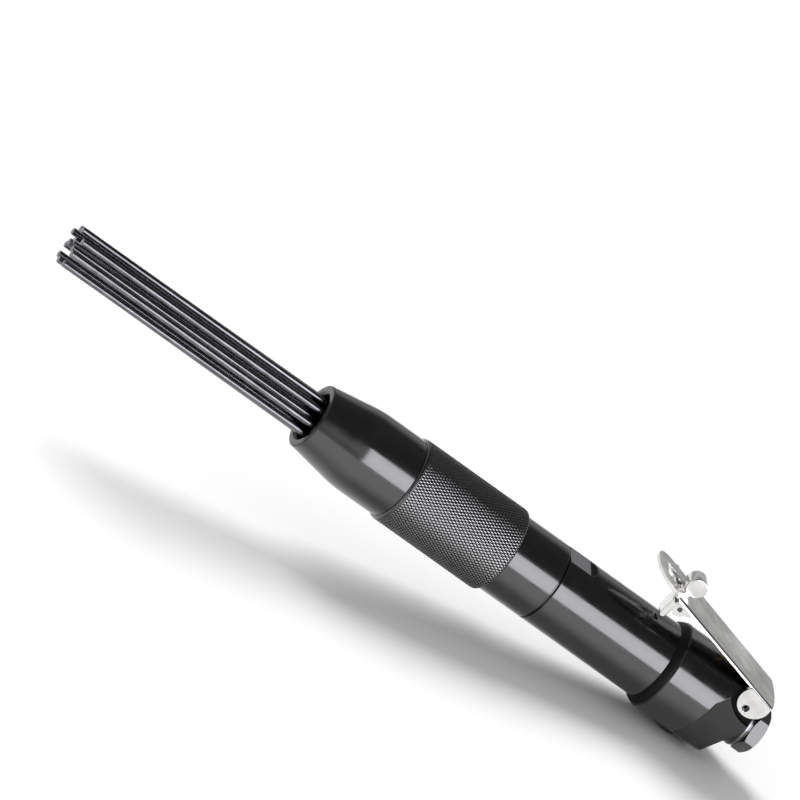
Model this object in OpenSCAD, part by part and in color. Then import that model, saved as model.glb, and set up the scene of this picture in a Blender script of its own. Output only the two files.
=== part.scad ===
// Straight pneumatic needle scaler with a throttle lever and a lock-off catch.
// The tool axis is X: the air inlet face is at X = 0, the needles point to -X, and the lever is on +Z.
// A station is a distance forward of the inlet face, so station s lies at X = -s.

/* [Lengths along the tool] */
// Length of the hexagon of the inlet bushing
hex_l = 7.6; // [7:0.1:10]
// Thickness of the seal washer under the hexagon
seal_t = 0.8; // [0.6:0.1:1.2]
// Length of the rear head, from its rear boss to its front face
head_l = 42.7; // [42:0.1:46]
// Length of the main barrel in view
barrel_l = 60.6; // [58:0.1:70]
// Length of the plain section behind the knurled grip
plain_l = 23.1; // [20:0.1:30]
// Length of the knurled grip band
knurl_l = 53.5; // [50:0.1:65]
// Length of the straight part of the nose
nose_cyl_l = 21.7; // [16:0.1:30]
// Length of the tapered part of the nose
nose_taper_l = 24; // [20:0.5:34]
// Length of needle outside the nose
needle_out = 126; // [80:1:150]

/* [Diameters] */
// Mouth of the nose, outside
mouth_d = 29; // [28:0.1:31]
// Bore of the mouth
mouth_bore_d = 21.5; // [21:0.1:22.5]
// Straight part of the nose
nose_d = 36.5; // [36:0.1:38]
// Knurled grip band
knurl_d = 38.4; // [38.4:0.1:42]
// Main barrel and plain section
barrel_d = 35; // [34.6:0.1:36]
// Rear head
head_d = 40; // [39.6:0.1:42]
// Boss behind the rear head
boss_d = 21.4; // [20.8:0.1:22]
// Hexagon of the inlet bushing, across its flats
hex_af = 19; // [18.6:0.1:20]
// Distance across the side flats of the rear head
head_flats_w = 25.4; // [25.2:0.1:27]
// Distance across the wrench flats of the main barrel
wrench_w = 33; // [32.4:0.1:33.6]

/* [Needles] */
// Needle wire diameter
needle_d = 3; // [2.4:0.1:3.2]
// Needle head diameter
needle_head_d = 4.4; // [3.8:0.1:4.6]
// Needle head length
needle_head_l = 3; // [2:0.1:4]
// Needles in the outer ring
outer_count = 9; // [6:1:9]
// Needles in the inner ring
inner_count = 3; // [2:1:3]
// Radius of the outer ring of needles
outer_ring_r = 8; // [7.6:0.1:8.1]
// Radius of the inner ring of needles
inner_ring_r = 3; // [2.8:0.1:3.2]
// Largest difference in reach between two needles
needle_stagger = 1.6; // [0:0.1:2]
// Travel of a needle between the holder and the anvil
needle_play = 5; // [4:0.1:5.5]

/* [Hammer and anvil] */
// Radius of the hammer bore
hammer_r = 10.5; // [10:0.1:11]
// Length of the hammer
hammer_l = 22; // [18:0.5:24]
// Radius of the anvil shank
shank_r = 7.9; // [7.5:0.1:8.2]
// Length of the anvil flange
flange_l = 6; // [5:0.5:8]
// Thickness of the rubber buffer behind the anvil flange
buffer_l = 4; // [3:0.5:5]
// Thickness of the needle holder plate
holder_plate_l = 6; // [5:0.5:8]
// Wire diameter of the needle return spring
needle_wire_d = 2.2; // [1.8:0.1:2.4]
// Turns of the needle return spring
needle_turns = 7; // [5:1:8]

/* [Lever and catch] */
// Width of the lever
lever_w = 25; // [24:0.2:25.2]
// Width of the lever's tongue
tongue_w = 21.6; // [20:0.2:23]
// Sheet thickness of the lever
lever_t = 1.3; // [1.2:0.1:1.5]
// Slope of the lever at rest
lever_slope = 14.8; // [14.4:0.1:15.4]
// Travel of the lever
lever_press = 5.5; // [4:0.1:5.5]
// Reach of the lever's tongue in front of the catch pin
lever_nose = 19.7; // [18.5:0.1:21]
// Reach of the lever behind its pin
lever_tail = 9; // [8.6:0.1:9.4]
// Height of the lever's top face over its pin
lever_top = 8.4; // [8.1:0.1:8.6]
// Diameter of the lever pin
lever_pin_d = 3.2; // [2.8:0.1:3.4]
// Distance of the catch pin from the lever pin, along the lever
catch_reach = 53; // [52:0.1:54.5]
// Diameter of the catch pin
catch_pin_d = 2.2; // [1.8:0.1:2.3]
// Width of the catch
catch_w = 7.4; // [6.6:0.1:8]
// Thickness of the catch's leg
catch_t = 3; // [2.6:0.1:3.2]

/* [Air inlet and throttle] */
// Minor diameter of the quarter inch inlet thread
inlet_d = 11.4; // [11:0.1:11.8]
// Depth of the inlet thread
inlet_l = 14; // [12:0.5:16]
// Diameter of the throttle stem
stem_d = 3.5; // [3:0.1:3.8]
// Diameter of the throttle plug
plug_d = 12; // [11.4:0.1:12.6]
// Stand of the throttle plug below the rear head
plug_proud = 0.5; // [0.4:0.1:0.8]

/* [Hidden] */
$fn = 64;
needle_total = outer_count + inner_count;
function needle_name(i) = str("needle_", i < 9 ? "0" : "", i + 1);

// Fits and clearances
over = 1;                 // overrun of every cut
run_gap = 0.05;           // radial gap of a running fit
thread_gap = 0.1;         // radial gap drawn at a screwed or pressed joint
seat_gap = 0.1;           // gap between a needle head and the holder
end_gap = 0.3;            // gap between the end faces of moving pieces
slide_gap = 0.3;          // gap beside a loosely guided piece

// Radii
mouth_r = mouth_d / 2;
mouth_bore_r = mouth_bore_d / 2;
nose_r = nose_d / 2;
knurl_r = knurl_d / 2;
barrel_r = barrel_d / 2;
head_r = head_d / 2;
boss_r = boss_d / 2;
needle_r = needle_d / 2;

// Stations of the outside, from the inlet face forward
st_boss = hex_l + seal_t;
st_head = st_boss + head_l;
st_joint = st_head + barrel_l;
st_grip_rear = st_joint + plain_l;
st_grip = st_grip_rear + knurl_l;
st_shoulder = st_grip + nose_cyl_l;
st_mouth = st_shoulder + nose_taper_l;
st_tips = st_mouth + needle_out;

// Nose: mouth chamfers, seat of the spring, bore and screwed spigot
mouth_round = 0.8;
mouth_flare = 1.2;
spring_seat_in = 8;
nose_wall = 2.2;
spigot_l = 16.3;
nose_step = 2.75;
spigot_r = nose_r - nose_step;
nose_bore_r = spigot_r - nose_wall;
shoulder_blend = 4;
blend_share = 0.25;
st_spring_seat = st_mouth - spring_seat_in;
st_spigot = st_grip - spigot_l;

// Front barrel: chamfers of the grip band, lip, web bore and groove at the joint
grip_chamfer = 1;
grip_rear_chamfer = 1.6;
web_gap = 1.1;
web_bore_r = shank_r + web_gap;
joint_groove = 0.9;
joint_groove_depth = 1.1;

// Main barrel: spigots, bush seat and wrench flats
main_spigot_l = 19;
main_spigot_step = 3.1;
main_spigot_r = barrel_r - main_spigot_step;
spigot_end_gap = 0.5;
bush_l = 13.7;
bush_wall = 3.5;
bush_r = shank_r + bush_wall;
wrench_l = 10.4;
runout_l = 3.5;
ring_groove_in = 3;
ring_wire_d = 1.8;
st_main_spigot = st_joint + main_spigot_l;
st_bush_rear = st_main_spigot - bush_l;

// Anvil, buffer, needle heads and holder, from the web forward
st_buffer = st_spigot - buffer_l - flange_l - 2 * end_gap;
st_flange = st_buffer + buffer_l + end_gap;
st_anvil = st_flange + flange_l;
st_skirt = st_anvil + end_gap;
st_head_rear = st_skirt + needle_play;
st_plate = st_head_rear + needle_head_l + seat_gap;
st_plate_front = st_plate + holder_plate_l;
holder_r = nose_bore_r - slide_gap;
flange_r = holder_r;
skirt_wall = 2;
anvil_in = 3;
anvil_crown = 1.5;
st_anvil_rear = st_bush_rear - anvil_in;

// Needle holes, needle tips and return spring
needle_hole_gap = 0.15;
needle_hole_r = needle_r + needle_hole_gap;
tip_chamfer = 0.3;
washer_t = 1.2;
spring_coil_r = nose_bore_r - slide_gap - needle_wire_d / 2;

// Valve stack and hammer stroke
stack_wall = 4;
stack_r = barrel_r - stack_wall;
head_spigot_l = 12;
valve_seat_l = 4;
valve_cap_l = 6.8;
valve_cavity_l = 3.3;
disc_t = 1.2;
disc_r = 8.7;
valve_port_r = 4;
seat_port_r = 1.5;
seat_port_count = 6;
seat_port_ring_r = 6;
dowel_r = 1.2;
dowel_ring_r = 11.4;
st_seat = st_head + head_spigot_l + seat_gap;
st_cap = st_seat + valve_seat_l;
st_stack = st_cap + valve_cap_l;
st_hammer = st_anvil_rear - end_gap;

// Exhaust ring on the rear end of the main barrel
exhaust_l = 3.2;
exhaust_in = 1.1;
exhaust_rise = 1.9;
exhaust_lip_share = 0.25;
exhaust_r = barrel_r + exhaust_rise;
exhaust_seat_r = barrel_r - exhaust_in;

// Rear head: front edge, side flats, rear cone, boss, slanted rear face and ear pocket
head_chamfer = 0.6;
flats_from = 20.1;
// Front edge of a side flat from the bottom up: [height, lean to the rear] as shares of the head radius
flats_edge_shares = [[-1.1, -0.08], [0.03, 0.04], [0.4, 0.11], [0.65, 0.32], [1.1, 0.32]];
rear_cone = 17;
boss_proud = 0.4;
rear_face_rise = 1;
rear_slant = 25;
slant_z = 3;
pocket_r = 16;
pocket_back = 5.5;
pocket_up = 9.3;
st_flats = st_head - flats_from;
st_rear = st_boss + boss_proud;
rear_face_r = boss_r + rear_face_rise;
head_rear_l = (head_r - rear_face_r) * tan(rear_cone);

// Lever: pin place, ears, flanges, lugs, slot and tongue
pin_in = 7.6;
pin_share = 0.58;
pin_z = head_r * pin_share;
st_pin = st_boss + pin_in;
ear_r = 7.2;
ear_up = 4.2;
ear_back = 0.45;
ear_out = 0.8;
ear_drop = 0.9;
lever_bend_r = 1.6;
flange_rear_drop = 0.1;
flange_front_drop = 2.8;
lug_r = 3.1;
lug_lead = 3;
catch_drop = 2.2;
slot_back = 2.6;
slot_front = 12.6;
slot_gap = 0.4;
tail_arc_r = 42;
plate_ahead = 1.4;
curl_r = 160;
lever_under = lever_top - lever_t;
lever_reach = catch_reach + lever_nose;
lever_plate_end = catch_reach + lug_r + plate_ahead;
curl_from = lever_reach - lever_plate_end;
catch_w0 = lever_under - catch_drop;
lever_inner_w = lever_w - 2 * lever_t;
ear_t = lever_t + ear_out;
ear_top = lever_top - ear_drop;
lever_clear = 0.4;

// Catch: leg, eye and thumb pad, about its pin
catch_pin_x = -st_pin - catch_reach * cos(lever_slope) + catch_w0 * sin(lever_slope);
catch_pin_z = pin_z + catch_reach * sin(lever_slope) + catch_w0 * cos(lever_slope);
catch_clear = 1.3;
catch_lead = -4;
catch_eye_r = 2.5;
catch_leg = (catch_pin_z - barrel_r - catch_clear - catch_t / 2) / cos(catch_lead) + catch_t / 2;
foot_round = 1.2;
foot_round_share = 0.85;
pad_r = 4.5;
pad_lean = 18;
pad_up = 8.2;
pad_lift = 4.2;
catch_wire_d = 0.6;
catch_turns = 5;
catch_coil_gap = 0.2;
catch_coil_r = catch_pin_d / 2 + catch_wire_d / 2 + catch_coil_gap;

// Throttle valve in the rear head
stem_forward = 15.5;
st_stem = st_pin + stem_forward;
stem_r = stem_d / 2;
plug_r = plug_d / 2;
valve_seat_z = 4.6;
valve_seat_t = 1.4;
valve_throat_r = 3;
upper_chamber_r = 4;
stem_bush_l = 8;
bush_z = head_r - stem_bush_l;
bush_bore_r = 4.2;
poppet_r = 4.4;
poppet_t = 2.8;
stem_tail_l = 5.5;
plug_l = 8.8;
plug_top_z = plug_l - plug_proud - head_r;
stem_gap = 0.25;
throttle_wire_d = 0.9;
throttle_turns = 6;
air_r = 4;
feed_r = 2.2;
feed_drop = 3.4;
feed_z = bush_z - feed_drop;
gland_in = 2.2;
gland_wire_d = 1.3;
gland_room = 0.2;
gland_groove_r = stem_r + gland_wire_d + gland_room;
plug_ring_wire_d = 1.4;
plug_ring_in = 5;
spring_end_gap = 0.1;
poppet_z = valve_seat_z - end_gap - poppet_t;
lever_under_z = pin_z + (stem_forward * sin(lever_slope) + lever_under) / cos(lever_slope);
stem_top_z = lever_under_z - stem_gap - stem_r * tan(lever_slope);

// Inlet bushing, its washer and its screen
bushing_spigot_l = 12.5;
spigot_wall = 1.5;
bushing_spigot_r = pin_z - lever_pin_d / 2 - spigot_wall;
bushing_throat_r = 4.4;
hex_chamfer = 0.9;
hex_turn = 21;
hex_collar = 1.5;
screen_t = 0.5;
screen_hole_r = 0.55;
screen_pitch = 1.7;
screen_rows = 2;
seal_over = 0.2;
seal_r = boss_r + seal_over;
st_bushing = st_boss + bushing_spigot_l;
st_screen = st_bushing + screen_t;

// Colours
black_steel = "#26272b";
bright_steel = "#c9cbd0";
plain_steel = "#8b8e94";
rubber = "#17181a";
bronze = "#a5804a";

// A solid of revolution about the tool axis from points [radius, station]
module turned(points) {
    rotate([0, -90, 0]) rotate_extrude() polygon(points);
}

// A round bar along the tool axis between two stations, at height z and side y
module bar(r, from, to, z = 0, y = 0) {
    translate([-to, y, z]) rotate([0, 90, 0]) cylinder(r = r, h = to - from);
}

// A plain ring about the tool axis
module ring(r_in, r_out, from, to) {
    turned([[r_in, from], [r_out, from], [r_out, to], [r_in, to]]);
}

// A round bar along Y, centred on the XZ plane
module cross_bar(r, w, x, z) {
    translate([x, 0, z]) rotate([90, 0, 0]) cylinder(r = r, h = w, center = true);
}

// An O-ring about the tool axis
module o_ring(r_mid, wire_d, station) {
    translate([-station, 0, 0]) rotate([0, -90, 0]) rotate_extrude() translate([r_mid, 0]) circle(d = wire_d);
}

// One ring of points on a helix about +Z; t counts turns from the lower end
function coil_ring(t, rise, r, wire_r, sides) = [
    for (k = [0 : sides - 1])
    let (a = 360 * t, b = 360 * k / sides, q = r + wire_r * cos(b))
    [q * cos(a), q * sin(a), wire_r + rise * t + wire_r * sin(b)]
];

// Faces of a tube of rings with closed ends
function tube_faces(rings, sides) = concat(
    [[for (k = [0 : sides - 1]) k]],
    [for (j = [0 : rings - 2], k = [0 : sides - 1])
        let (a = j * sides + k, b = j * sides + (k + 1) % sides) [a, a + sides, b]],
    [for (j = [0 : rings - 2], k = [0 : sides - 1])
        let (a = j * sides + k, b = j * sides + (k + 1) % sides) [b, a + sides, b + sides]],
    [[for (k = [sides - 1 : -1 : 0]) (rings - 1) * sides + k]]
);

// Middle of the wire at t turns
function coil_mid(t, rise, r) = [r * cos(360 * t), r * sin(360 * t), rise * t];

// Least gap between points of the wire that lie half a turn or more apart
function coil_gap(rings, steps, rise, r, wire_d) = min([
    for (j = [0 : rings - 1], k = [j + steps / 2 : rings - 1])
    norm(coil_mid(j / steps, rise, r) - coil_mid(k / steps, rise, r)) - wire_d
]);

// A coil spring about +Z from z = 0 to z = l
module coil(l, r, wire_d, turns, steps = 12, sides = 6) {
    rings = turns * steps + 1;
    rise = (l - wire_d) / turns;
    echo(str("least gap between turns, mm: ", coil_gap(rings, steps, rise, r, wire_d)));
    polyhedron(
        points = [for (j = [0 : rings - 1]) each coil_ring(j / steps, rise, r, wire_d / 2, sides)],
        faces = tube_faces(rings, sides)
    );
}

// Lever frame: x runs along the lever to its tip, y is across, z is square to the plate, about the lever pin
module on_lever() {
    translate([-st_pin, 0, pin_z]) rotate([0, lever_slope, 0]) mirror([1, 0, 0]) children();
}

// Needle places: the outer ring first, then the inner ring
function needle_angle(i) = i < outer_count ? 360 * i / outer_count
    : 360 * (i - outer_count) / inner_count + 180 / outer_count;
function needle_ring(i) = i < outer_count ? outer_ring_r : inner_ring_r;
function needle_y(i) = needle_ring(i) * sin(needle_angle(i));
function needle_z(i) = needle_ring(i) * cos(needle_angle(i));
// Reach of each needle short of the longest, spread evenly by the golden ratio
golden_share = 0.618;
function needle_short(i) = needle_stagger * (i * golden_share - floor(i * golden_share));

// Tapered nose tube with a screwed spigot, a stepped bore and a flared mouth
module nose_sleeve() {
    taper = (nose_r - mouth_r) / nose_taper_l;
    color(black_steel) turned([
        [mouth_bore_r + mouth_flare, st_mouth],
        [mouth_r - mouth_round, st_mouth],
        [mouth_r, st_mouth - mouth_round],
        [nose_r - taper * shoulder_blend, st_shoulder + shoulder_blend],
        [nose_r - taper * shoulder_blend * blend_share, st_shoulder],
        [nose_r, st_shoulder - shoulder_blend],
        [nose_r, st_grip],
        [spigot_r, st_grip],
        [spigot_r, st_spigot],
        [nose_bore_r, st_spigot],
        [nose_bore_r, st_spring_seat],
        [mouth_bore_r, st_spring_seat],
        [mouth_bore_r, st_mouth - mouth_flare]
    ]);
}

// Grip tube with its knurled band, screwed to the nose in front and to the main barrel behind
module front_barrel() {
    color(black_steel) turned([
        [spigot_r + thread_gap, st_grip],
        [knurl_r - grip_chamfer, st_grip],
        [knurl_r, st_grip - grip_chamfer],
        [knurl_r, st_grip_rear + grip_rear_chamfer],
        [barrel_r, st_grip_rear],
        [barrel_r, st_joint + joint_groove],
        [barrel_r - joint_groove_depth, st_joint + joint_groove],
        [barrel_r - joint_groove_depth, st_joint],
        [main_spigot_r + thread_gap, st_joint],
        [main_spigot_r + thread_gap, st_main_spigot + spigot_end_gap],
        [web_bore_r, st_main_spigot + spigot_end_gap],
        [web_bore_r, st_buffer],
        [nose_bore_r, st_buffer],
        [nose_bore_r, st_spigot - spigot_end_gap],
        [spigot_r + thread_gap, st_spigot - spigot_end_gap]
    ]);
}

// Two opposite wrench flats with the run-out of a round cutter
module wrench_cuts() {
    depth = barrel_r - wrench_w / 2;
    cutter_r = (runout_l * runout_l + depth * depth) / (2 * depth);
    x_flat = -st_joint + wrench_l;
    for (side = [-1, 1]) {
        translate([-st_joint - over, -barrel_r, side > 0 ? wrench_w / 2 : -wrench_w / 2 - depth - over])
            cube([wrench_l + over, barrel_d, depth + over]);
        cross_bar(cutter_r, barrel_d, x_flat, side * (wrench_w / 2 + cutter_r));
    }
}

// Hammer cylinder with its spigots, wrench flats and the seat of the exhaust ring
module main_barrel() {
    st_ring = st_joint + ring_groove_in;
    groove = ring_wire_d / 2 + thread_gap;
    color(black_steel) difference() {
        turned([
            [bush_r, st_main_spigot],
            [main_spigot_r, st_main_spigot],
            [main_spigot_r, st_ring + groove],
            [main_spigot_r - ring_wire_d, st_ring + groove],
            [main_spigot_r - ring_wire_d, st_ring - groove],
            [main_spigot_r, st_ring - groove],
            [main_spigot_r, st_joint],
            [barrel_r, st_joint],
            [barrel_r, st_head + exhaust_l],
            [exhaust_seat_r, st_head + exhaust_l],
            [exhaust_seat_r, st_head],
            [stack_r, st_head],
            [stack_r, st_stack],
            [hammer_r, st_stack],
            [hammer_r, st_bush_rear],
            [bush_r, st_bush_rear]
        ]);
        wrench_cuts();
    }
}

// O-ring that seals the front barrel on the main barrel
module barrel_o_ring() {
    color(rubber) o_ring(main_spigot_r - ring_wire_d / 2, ring_wire_d, st_joint + ring_groove_in);
}

// Rubber ring that spreads the exhaust behind the main barrel
module exhaust_ring() {
    color(rubber) turned([
        [exhaust_seat_r, st_head],
        [exhaust_r, st_head],
        [exhaust_r, st_head + exhaust_l * exhaust_lip_share],
        [barrel_r + exhaust_in, st_head + exhaust_l * (1 - exhaust_lip_share)],
        [barrel_r, st_head + exhaust_l],
        [exhaust_seat_r, st_head + exhaust_l]
    ]);
}

// Carries the needles: a drilled plate with a skirt that rests on the anvil
module needle_holder() {
    color(plain_steel) difference() {
        turned([
            [0, st_plate],
            [holder_r - skirt_wall, st_plate],
            [holder_r - skirt_wall, st_skirt],
            [holder_r, st_skirt],
            [holder_r, st_plate_front],
            [0, st_plate_front]
        ]);
        for (i = [0 : needle_total - 1])
            bar(needle_hole_r, st_plate - over, st_plate_front + over, needle_z(i), needle_y(i));
    }
}

// One hardened needle: a headed wire with a flat, lightly chamfered tip
module needle(i) {
    st_tip = st_tips - needle_short(i);
    st_under = st_head_rear + needle_head_l;
    color(plain_steel) translate([0, needle_y(i), needle_z(i)]) turned([
        [0, st_head_rear],
        [needle_head_d / 2, st_head_rear],
        [needle_head_d / 2, st_under],
        [needle_r, st_under],
        [needle_r, st_tip - tip_chamfer],
        [needle_r - tip_chamfer, st_tip],
        [0, st_tip]
    ]);
}

// Coil spring that pushes the needle holder back on the anvil
module needle_spring() {
    l = st_spring_seat - washer_t - st_plate_front - 2 * spring_end_gap;
    color(plain_steel) translate([-st_plate_front - spring_end_gap, 0, 0]) rotate([0, -90, 0])
        coil(l, spring_coil_r, needle_wire_d, needle_turns);
}

// Hard washer under the front end of the needle spring
module spring_washer() {
    st_rear = st_spring_seat - washer_t;
    color(plain_steel) ring(mouth_bore_r, nose_bore_r - thread_gap, st_rear, st_spring_seat);
}

// Striker between the hammer and the needle heads
module anvil() {
    color(plain_steel) turned([
        [0, st_anvil_rear],
        [shank_r - anvil_crown, st_anvil_rear],
        [shank_r, st_anvil_rear + anvil_crown],
        [shank_r, st_flange],
        [flange_r, st_flange],
        [flange_r, st_anvil],
        [0, st_anvil]
    ]);
}

// Bronze bush that guides the anvil shank
module anvil_bush() {
    color(bronze) ring(shank_r + run_gap, bush_r, st_bush_rear, st_main_spigot);
}

// Rubber buffer between the anvil flange and the web of the front barrel
module anvil_buffer() {
    color(rubber) ring(web_bore_r, nose_bore_r - thread_gap, st_buffer, st_buffer + buffer_l);
}

// Free piston that strikes the anvil
module hammer() {
    st_rear = st_hammer - hammer_l;
    r = hammer_r - run_gap;
    color(plain_steel) turned([
        [0, st_rear],
        [r - anvil_crown, st_rear],
        [r, st_rear + anvil_crown],
        [r, st_hammer - anvil_crown],
        [r - anvil_crown, st_hammer],
        [0, st_hammer]
    ]);
}

// Holes for the two dowels through the valve stack
module dowel_holes() {
    for (side = [-1, 1]) bar(dowel_r, st_seat - over, st_stack + over, 0, side * dowel_ring_r);
}

// Rear plate of the hammer valve, with a ring of air ports
module valve_seat() {
    color(plain_steel) difference() {
        bar(stack_r - thread_gap, st_seat, st_cap);
        for (k = [0 : seat_port_count - 1])
            let (a = 360 * k / seat_port_count, z = seat_port_ring_r * cos(a), y = seat_port_ring_r * sin(a))
            bar(seat_port_r, st_seat - over, st_cap + over, z, y);
        dowel_holes();
    }
}

// Flapping disc of the hammer valve
module valve_disc() {
    color(bright_steel) bar(disc_r, st_cap + end_gap, st_cap + end_gap + disc_t);
}

// Front cap of the hammer valve, with the cavity of the disc and a middle port
module valve_cap() {
    color(plain_steel) difference() {
        turned([
            [disc_r + slide_gap, st_cap],
            [stack_r - thread_gap, st_cap],
            [stack_r - thread_gap, st_stack],
            [valve_port_r, st_stack],
            [valve_port_r, st_cap + valve_cavity_l],
            [disc_r + slide_gap, st_cap + valve_cavity_l]
        ]);
        dowel_holes();
    }
}

// Two dowels that line up the valve plates
module valve_pins() {
    color(bright_steel) for (side = [-1, 1]) bar(dowel_r, st_seat, st_stack, 0, side * dowel_ring_r);
}

// Half space above a lever plate that has turned down from its rest slope by press
module above_lever(press) {
    reach = head_l;
    translate([-st_pin, 0, pin_z]) rotate([0, lever_slope - press, 0])
        translate([-reach, -head_r, lever_under - lever_clear]) cube([2 * reach, head_d, head_r]);
}

// Rear head: throttle housing with side flats, ear pockets, lever pin hole and inlet bore
module rear_head() {
    pocket_y = head_r + lever_inner_w / 2 - slide_gap;
    flat_depth = head_r + over - head_flats_w / 2;
    flat_edge = [for (e = flats_edge_shares) [e[1] * head_r - st_flats, e[0] * head_r]];
    color(black_steel) difference() {
        union() {
            difference() {
                turned([
                    [0, st_rear],
                    [rear_face_r, st_rear],
                    [head_r - head_chamfer, st_rear + head_rear_l],
                    [head_r, st_rear + head_rear_l + head_chamfer],
                    [head_r, st_head - head_chamfer],
                    [head_r - head_chamfer, st_head],
                    [stack_r - thread_gap, st_head],
                    [stack_r - thread_gap, st_head + head_spigot_l],
                    [0, st_head + head_spigot_l]
                ]);
                translate([-st_rear, 0, slant_z]) rotate([0, rear_slant, 0])
                    translate([0, -head_d, -2 * head_d]) cube([head_d, 2 * head_d, 4 * head_d]);
            }
            bar(boss_r, st_boss, st_flats);
        }
        for (side = [-1, 1]) {
            translate([0, side > 0 ? head_r + over : -head_flats_w / 2, 0]) rotate([90, 0, 0])
                linear_extrude(height = flat_depth)
                    polygon(concat(flat_edge, [[over, head_r * 2], [over, -head_r * 2]]));
            translate([pocket_back - st_pin, side * pocket_y, pocket_up + pin_z])
                rotate([90, 0, 0]) cylinder(r = pocket_r, h = head_d, center = true);
        }
        above_lever(0);
        above_lever(lever_press);
        cross_bar(lever_pin_d / 2, head_d, -st_pin, pin_z);
        bar(bushing_spigot_r + thread_gap, st_boss - over, st_screen);
        bar(air_r, st_screen - over, st_stem);
        bar(feed_r, st_stem, st_head + head_spigot_l + over, feed_z);
        translate([-st_stem, 0, 0]) {
            translate([0, 0, -head_r - over]) cylinder(r = plug_r, h = head_r + over + valve_seat_z);
            cylinder(r = valve_throat_r, h = bush_z);
            translate([0, 0, valve_seat_z + valve_seat_t])
                cylinder(r = upper_chamber_r, h = bush_z - valve_seat_z - valve_seat_t);
            translate([0, 0, bush_z]) cylinder(r = bush_bore_r, h = head_r);
        }
    }
}

// Stem with its poppet: the lever pushes it down to open the air valve
module throttle_stem() {
    dome = stem_r / 2;
    color(bright_steel) translate([-st_stem, 0, 0]) rotate_extrude() polygon([
        [0, poppet_z - stem_tail_l],
        [stem_r, poppet_z - stem_tail_l],
        [stem_r, poppet_z],
        [poppet_r, poppet_z],
        [poppet_r, poppet_z + poppet_t / 2],
        [stem_r, poppet_z + poppet_t],
        [stem_r, stem_top_z - dome],
        [stem_r - dome, stem_top_z],
        [0, stem_top_z]
    ]);
}

// Bush that guides the stem in the top of the rear head, with a gland for its O-ring
module throttle_bush() {
    gland_h = gland_wire_d / 2 + thread_gap;
    gland_z = bush_z + gland_in;
    color(bronze) translate([-st_stem, 0, 0]) rotate_extrude() polygon([
        [stem_r + run_gap, bush_z],
        [bush_bore_r, bush_z],
        [bush_bore_r, head_r - head_chamfer],
        [stem_r + run_gap, head_r - head_chamfer],
        [stem_r + run_gap, gland_z + gland_h],
        [gland_groove_r, gland_z + gland_h],
        [gland_groove_r, gland_z - gland_h],
        [stem_r + run_gap, gland_z - gland_h]
    ]);
}

// O-ring in the gland of the throttle bush
module stem_o_ring() {
    color(rubber) translate([-st_stem, 0, bush_z + gland_in]) rotate_extrude()
        translate([stem_r + run_gap + gland_wire_d / 2, 0]) circle(d = gland_wire_d);
}

// Coil spring that lifts the poppet against its seat
module throttle_spring() {
    l = poppet_z - plug_top_z - 2 * spring_end_gap;
    r = (stem_r + plug_r) / 2;
    color(plain_steel) translate([-st_stem, 0, plug_top_z + spring_end_gap])
        coil(l, r, throttle_wire_d, throttle_turns);
}

// Screwed plug under the rear head that carries the throttle spring
module throttle_plug() {
    groove_z = plug_ring_in - plug_proud - head_r;
    groove_h = plug_ring_wire_d / 2 + thread_gap;
    color(black_steel) translate([-st_stem, 0, 0]) rotate_extrude() polygon([
        [0, -head_r - plug_proud],
        [plug_r - plug_proud / 2, -head_r - plug_proud],
        [plug_r, -head_r - plug_proud / 2],
        [plug_r, groove_z - groove_h],
        [plug_r - plug_ring_wire_d, groove_z - groove_h],
        [plug_r - plug_ring_wire_d, groove_z + groove_h],
        [plug_r, groove_z + groove_h],
        [plug_r, plug_top_z],
        [0, plug_top_z]
    ]);
}

// O-ring of the throttle plug
module plug_o_ring() {
    color(rubber) translate([-st_stem, 0, plug_ring_in - plug_proud - head_r]) rotate_extrude()
        translate([plug_r - plug_ring_wire_d / 2, 0]) circle(d = plug_ring_wire_d);
}

// Section of a channel with rounded upper corners: width w, top at z = top, corner radius r
module channel_outline(w, top, r) {
    depth = lever_w;
    translate([-w / 2, top - depth]) square([w, depth - r]);
    translate([r - w / 2, top - r]) square([w - 2 * r, r]);
    for (side = [-1, 1]) translate([side * (w / 2 - r), top - r]) circle(r = r);
}

// Side view of the lever: plate, low flange and lug round the catch pin
module lever_side() {
    polygon([
        [-lever_tail - over, lever_top + over],
        [-lever_tail - over, lever_under - flange_rear_drop],
        [catch_reach - lug_r - lug_lead, lever_under - flange_rear_drop],
        [catch_reach - lug_r, lever_under - flange_front_drop],
        [catch_reach, lever_under - flange_front_drop],
        [lever_plate_end, lever_under + lever_t / 2],
        [lever_plate_end, lever_top + over]
    ]);
    translate([catch_reach, catch_w0]) circle(r = lug_r);
}

// Side view of an ear: a disc round the lever pin, cut straight under the plate
module ear_side() {
    intersection() {
        translate([-ear_back, ear_up]) circle(r = ear_r);
        translate([-2 * ear_r, ear_top - 4 * ear_r]) square([4 * ear_r, 4 * ear_r]);
    }
}

// Plan of the lever: a round tongue in front and a bowed tail behind
module lever_plan() {
    tip_r = tongue_w / 2;
    rear = lever_tail + over;
    intersection() {
        union() {
            translate([-rear, -lever_w / 2]) square([lever_plate_end + plate_ahead + rear, lever_w]);
            translate([0, -tip_r]) square([lever_reach - tip_r, tongue_w]);
            translate([lever_reach - tip_r, 0]) circle(r = tip_r);
        }
        translate([tail_arc_r - lever_tail, 0]) union() {
            circle(r = tail_arc_r);
            translate([0, -lever_w]) square([lever_reach + lever_tail, 2 * lever_w]);
        }
    }
}

// Side view of the tongue: a sheet on an arc that rises from the plate to the tip
module tongue_side() {
    translate([lever_plate_end, lever_under + curl_r]) intersection() {
        difference() {
            circle(r = curl_r);
            circle(r = curl_r - lever_t);
        }
        translate([0, -curl_r - over]) square([curl_from + over, curl_from]);
    }
}

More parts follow.
